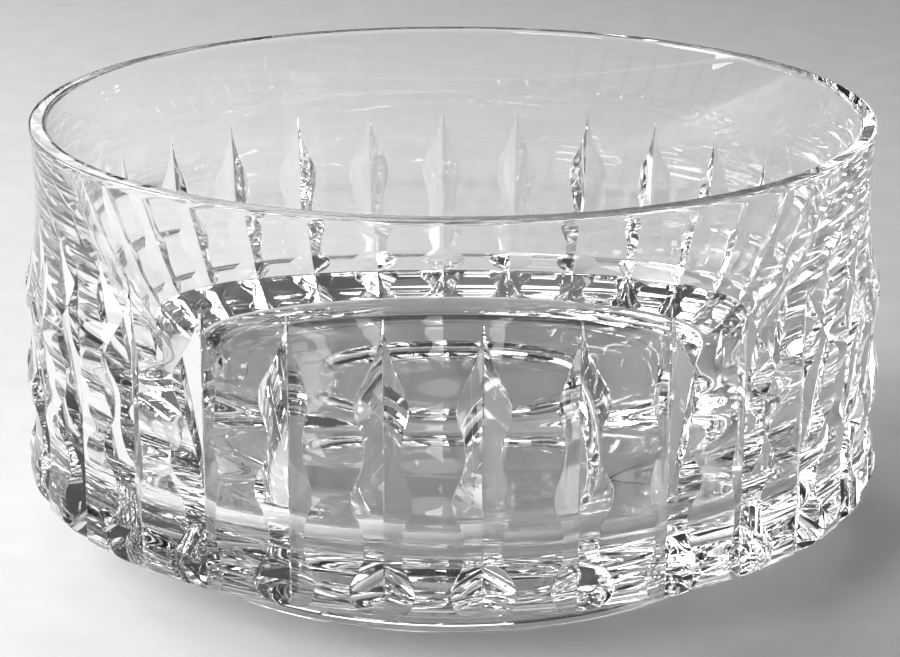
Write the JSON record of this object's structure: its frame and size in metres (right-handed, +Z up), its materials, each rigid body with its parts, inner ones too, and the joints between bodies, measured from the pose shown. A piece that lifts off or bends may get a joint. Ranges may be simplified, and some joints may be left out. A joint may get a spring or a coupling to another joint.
{
  "type": "cut glass bowl",
  "caption": "Wide open bowl of thick clear glass with a plain rim band, upright mitre cuts round a side with horizontal swellings, and a low round foot.",
  "frame": {"origin": "on the table under the middle of the foot", "axes": "+Z up along the bowl's turning axis; the sides are alike all round"},
  "size_m": [0.2064, 0.2064, 0.1035],
  "materials": {
    "glass": "clear colourless glass, turned, mitre cut and polished all over"
  },
  "bodies": {
    "root": {"bowl": "glass"}
  },
  "joints": []
}
